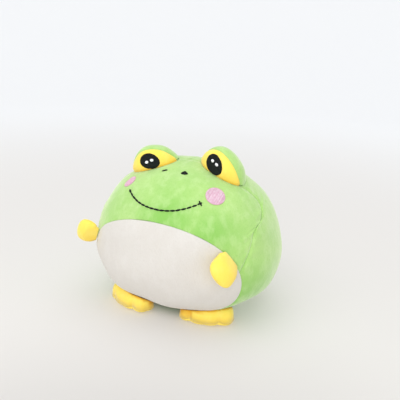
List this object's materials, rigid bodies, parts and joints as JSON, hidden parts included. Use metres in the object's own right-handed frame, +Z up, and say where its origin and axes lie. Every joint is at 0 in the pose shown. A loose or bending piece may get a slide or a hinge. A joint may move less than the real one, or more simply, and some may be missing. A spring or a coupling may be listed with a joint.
{
  "type": "plush frog",
  "caption": "Sitting round plush frog with raised eyes, short arms and flat toed feet, sewn from short-pile fleece over fibre filling, with an embroidered face.",
  "frame": {"origin": "centre of the whole toy's footprint box, on the floor it sits on", "axes": "+X is the frog's own left, -Y is the way it faces, +Z is up"},
  "size_m": [0.111, 0.1022, 0.0994],
  "materials": {
    "green_fleece": "short-pile fleece",
    "white_fleece": "short-pile fleece",
    "yellow_fleece": "short-pile fleece",
    "black_thread": "satin stitch",
    "pink_thread": "satin stitch",
    "white_thread": "satin stitch",
    "filling_fibre": "loose fibre"
  },
  "bodies": {
    "body": {"body_filling": "filling_fibre", "face_panel": "green_fleece", "belly_panel": "white_fleece", "back_panel_left": "green_fleece", "back_panel_right": "green_fleece", "mouth_line": "black_thread", "cheek_left": "pink_thread", "nostril_left": "black_thread", "mouth_corner_left": "black_thread", "eye_left_filling": "filling_fibre", "eye_left_front_cover": "yellow_fleece", "eye_left_back_cover": "green_fleece", "eye_left_pupil": "black_thread", "eye_left_highlight_inner": "white_thread", "eye_left_highlight_outer": "white_thread", "cheek_right": "pink_thread", "nostril_right": "black_thread", "mouth_corner_right": "black_thread", "eye_right_filling": "filling_fibre", "eye_right_front_cover": "yellow_fleece", "eye_right_back_cover": "green_fleece", "eye_right_pupil": "black_thread", "eye_right_highlight_inner": "white_thread", "eye_right_highlight_outer": "white_thread"},
    "arm_left": {"arm_left_filling": "filling_fibre", "arm_left_front_cover": "yellow_fleece", "arm_left_back_cover": "yellow_fleece"},
    "arm_right": {"arm_right_filling": "filling_fibre", "arm_right_front_cover": "yellow_fleece", "arm_right_back_cover": "yellow_fleece"},
    "foot_left": {"foot_left_filling": "filling_fibre", "foot_left_top_cover": "yellow_fleece", "foot_left_sole": "yellow_fleece"},
    "foot_right": {"foot_right_filling": "filling_fibre", "foot_right_top_cover": "yellow_fleece", "foot_right_sole": "yellow_fleece"}
  },
  "joints": [
    {"name": "arm_left_hinge", "type": "hinge", "parent": "body", "child": "arm_left", "pos_m": [0.04181, -0.03653, 0.04748], "axis": [0.5476, 0.3357, -0.7664], "range_deg": [-114, 0], "stiffness_Nm_per_rad": 0.0002},
    {"name": "arm_right_hinge", "type": "hinge", "parent": "body", "child": "arm_right", "pos_m": [-0.04336, -0.03485, 0.04402], "axis": [0.44, -0.3096, 0.8429], "range_deg": [-30, 82], "stiffness_Nm_per_rad": 0.0002},
    {"name": "foot_left_hinge", "type": "hinge", "parent": "body", "child": "foot_left", "pos_m": [0.02182, -0.01419, 0.00238], "axis": [-0.9703, -0.2419, 0], "range_deg": [-30, 0], "stiffness_Nm_per_rad": 0.0002},
    {"name": "foot_right_hinge", "type": "hinge", "parent": "body", "child": "foot_right", "pos_m": [-0.02075, -0.01838, 0.00325], "axis": [-0.9397, 0.342, 0], "range_deg": [-30, 0], "stiffness_Nm_per_rad": 0.0002}
  ]
}
